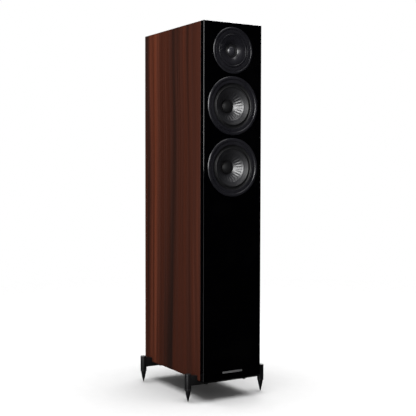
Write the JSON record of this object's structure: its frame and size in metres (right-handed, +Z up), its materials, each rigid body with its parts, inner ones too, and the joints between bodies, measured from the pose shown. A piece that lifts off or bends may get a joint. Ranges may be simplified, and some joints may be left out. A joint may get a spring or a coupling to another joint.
{
  "type": "floorstanding speaker",
  "caption": "Slim floorstanding loudspeaker with a gloss black front, dark wood-grain sides, tweeter over a pair of cone drivers, and spiked outrigger feet.",
  "frame": {"origin": "on the floor under the centre of the bounding box, level with the spike tips", "axes": "+Z up, -Y out of the front baffle, +X to the right of someone looking at the front"},
  "size_m": [0.248, 0.3356, 0.9964],
  "materials": {
    "wood_wrap": "satin dark red-brown wood-grain wrap",
    "gloss_black": "high-gloss black lacquer",
    "black_board": "matt black textured board",
    "raw_board": "raw fibreboard",
    "driver_grey": "satin graphite grey",
    "cast_frame": "black-coated die casting",
    "rubber": "satin black rubber",
    "cone_polymer": "satin graphite mineral-filled polypropylene",
    "soft_dome": "coated dark soft dome",
    "steel": "zinc-plated steel",
    "ferrite": "dark grey sintered ferrite",
    "copper_coil": "enamelled copper wire",
    "spider_cloth": "resin-treated woven cloth",
    "brass": "gold-plated brass",
    "red_plastic": "glossy red plastic",
    "black_plastic": "fine-textured black plastic",
    "capacitor_film": "shrink-sleeved film capacitor",
    "ceramic": "unglazed ceramic resistor body",
    "circuit_board": "pressed fibreboard",
    "foam": "open-cell acoustic foam",
    "wire_sheath": "twin wire sheath",
    "badge_metal": "plain brushed plate",
    "satin_black_metal": "satin black coating"
  },
  "bodies": {
    "cabinet": {"side_panel_left": "wood_wrap", "side_panel_right": "wood_wrap", "top_panel": "wood_wrap", "bottom_panel": "wood_wrap", "back_panel": "black_board", "front_baffle": "gloss_black", "brace_upper": "raw_board", "brace_lower": "raw_board", "badge_bar": "badge_metal", "woofer_upper_trim_ring": "driver_grey", "woofer_upper_basket": "cast_frame", "woofer_upper_surround": "rubber", "woofer_upper_spider": "spider_cloth", "woofer_upper_top_plate": "steel", "woofer_upper_magnet": "ferrite", "woofer_upper_back_plate": "steel", "woofer_lower_trim_ring": "driver_grey", "woofer_lower_basket": "cast_frame", "woofer_lower_surround": "rubber", "woofer_lower_spider": "spider_cloth", "woofer_lower_top_plate": "steel", "woofer_lower_magnet": "ferrite", "woofer_lower_back_plate": "steel", "tweeter_faceplate": "driver_grey", "tweeter_surround": "rubber", "tweeter_top_plate": "steel", "tweeter_magnet": "ferrite", "tweeter_back_plate": "steel", "reflex_port": "black_plastic", "terminal_cup": "black_plastic", "binding_post_red": "brass", "binding_post_black": "brass", "crossover_board": "circuit_board", "inductor": "copper_coil", "capacitor": "capacitor_film", "resistor": "ceramic", "damping_foam": "foam", "wiring_loom": "wire_sheath", "outrigger_front": "satin_black_metal", "outrigger_rear": "satin_black_metal"},
    "woofer_upper_diaphragm": {"woofer_upper_cone": "cone_polymer", "woofer_upper_dust_cap": "rubber", "woofer_upper_voice_coil": "copper_coil"},
    "woofer_lower_diaphragm": {"woofer_lower_cone": "cone_polymer", "woofer_lower_dust_cap": "rubber", "woofer_lower_voice_coil": "copper_coil"},
    "tweeter_diaphragm": {"tweeter_dome": "soft_dome", "tweeter_voice_coil": "copper_coil"},
    "knob_insert_red": {"knob_insert_red": "brass"},
    "knob_red": {"knob_red": "red_plastic"},
    "knob_insert_black": {"knob_insert_black": "brass"},
    "knob_black": {"knob_black": "black_plastic"},
    "lock_ring_front_left": {"lock_ring_front_left": "satin_black_metal"},
    "spike_front_left": {"spike_front_left": "satin_black_metal"},
    "lock_ring_front_right": {"lock_ring_front_right": "satin_black_metal"},
    "spike_front_right": {"spike_front_right": "satin_black_metal"},
    "lock_ring_rear_left": {"lock_ring_rear_left": "satin_black_metal"},
    "spike_rear_left": {"spike_rear_left": "satin_black_metal"},
    "lock_ring_rear_right": {"lock_ring_rear_right": "satin_black_metal"},
    "spike_rear_right": {"spike_rear_right": "satin_black_metal"}
  },
  "joints": [
    {"name": "woofer_upper_travel", "type": "slide", "parent": "cabinet", "child": "woofer_upper_diaphragm", "axis": [0, -1, 0], "range_m": [-0.004, 0.004], "stiffness_N_per_m": 1200, "deforming": ["woofer_upper_surround", "woofer_upper_spider"]},
    {"name": "woofer_lower_travel", "type": "slide", "parent": "cabinet", "child": "woofer_lower_diaphragm", "axis": [0, -1, 0], "range_m": [-0.004, 0.004], "stiffness_N_per_m": 1200, "deforming": ["woofer_lower_surround", "woofer_lower_spider"]},
    {"name": "tweeter_travel", "type": "slide", "parent": "cabinet", "child": "tweeter_diaphragm", "axis": [0, -1, 0], "range_m": [-0.0004, 0.0004], "stiffness_N_per_m": 2000, "deforming": ["tweeter_surround"]},
    {"name": "knob_red_travel", "type": "slide", "parent": "cabinet", "child": "knob_insert_red", "axis": [0, 1, 0], "range_m": [0, 0.004]},
    {"name": "knob_red_turn", "type": "hinge", "parent": "knob_insert_red", "child": "knob_red", "pos_m": [0.019, 0.15, 0.1864], "axis": [0, 1, 0], "range_deg": [0, 1440]},
    {"name": "knob_black_travel", "type": "slide", "parent": "cabinet", "child": "knob_insert_black", "axis": [0, 1, 0], "range_m": [0, 0.004]},
    {"name": "knob_black_turn", "type": "hinge", "parent": "knob_insert_black", "child": "knob_black", "pos_m": [-0.019, 0.15, 0.1864], "axis": [0, 1, 0], "range_deg": [0, 1440]},
    {"name": "spike_front_left_travel", "type": "slide", "parent": "cabinet", "child": "lock_ring_front_left", "axis": [0, 0, -1], "range_m": [0, 0.01]},
    {"name": "spike_front_left_turn", "type": "hinge", "parent": "lock_ring_front_left", "child": "spike_front_left", "pos_m": [-0.1153, -0.12955, 0.03], "axis": [0, 0, -1], "range_deg": [0, 2880]},
    {"name": "spike_front_right_travel", "type": "slide", "parent": "cabinet", "child": "lock_ring_front_right", "axis": [0, 0, -1], "range_m": [0, 0.01]},
    {"name": "spike_front_right_turn", "type": "hinge", "parent": "lock_ring_front_right", "child": "spike_front_right", "pos_m": [0.1153, -0.12955, 0.03], "axis": [0, 0, -1], "range_deg": [0, 2880]},
    {"name": "spike_rear_left_travel", "type": "slide", "parent": "cabinet", "child": "lock_ring_rear_left", "axis": [0, 0, -1], "range_m": [0, 0.01]},
    {"name": "spike_rear_left_turn", "type": "hinge", "parent": "lock_ring_rear_left", "child": "spike_rear_left", "pos_m": [-0.1153, 0.12925, 0.03], "axis": [0, 0, -1], "range_deg": [0, 2880]},
    {"name": "spike_rear_right_travel", "type": "slide", "parent": "cabinet", "child": "lock_ring_rear_right", "axis": [0, 0, -1], "range_m": [0, 0.01]},
    {"name": "spike_rear_right_turn", "type": "hinge", "parent": "lock_ring_rear_right", "child": "spike_rear_right", "pos_m": [0.1153, 0.12925, 0.03], "axis": [0, 0, -1], "range_deg": [0, 2880]}
  ],
  "couplings": [
    {"joint": "knob_red_turn", "follows": "knob_red_travel", "rad_per_m": 6283.2},
    {"joint": "knob_black_turn", "follows": "knob_black_travel", "rad_per_m": 6283.2},
    {"joint": "spike_front_left_turn", "follows": "spike_front_left_travel", "rad_per_m": 5026.5},
    {"joint": "spike_front_right_turn", "follows": "spike_front_right_travel", "rad_per_m": 5026.5},
    {"joint": "spike_rear_left_turn", "follows": "spike_rear_left_travel", "rad_per_m": 5026.5},
    {"joint": "spike_rear_right_turn", "follows": "spike_rear_right_travel", "rad_per_m": 5026.5}
  ]
}
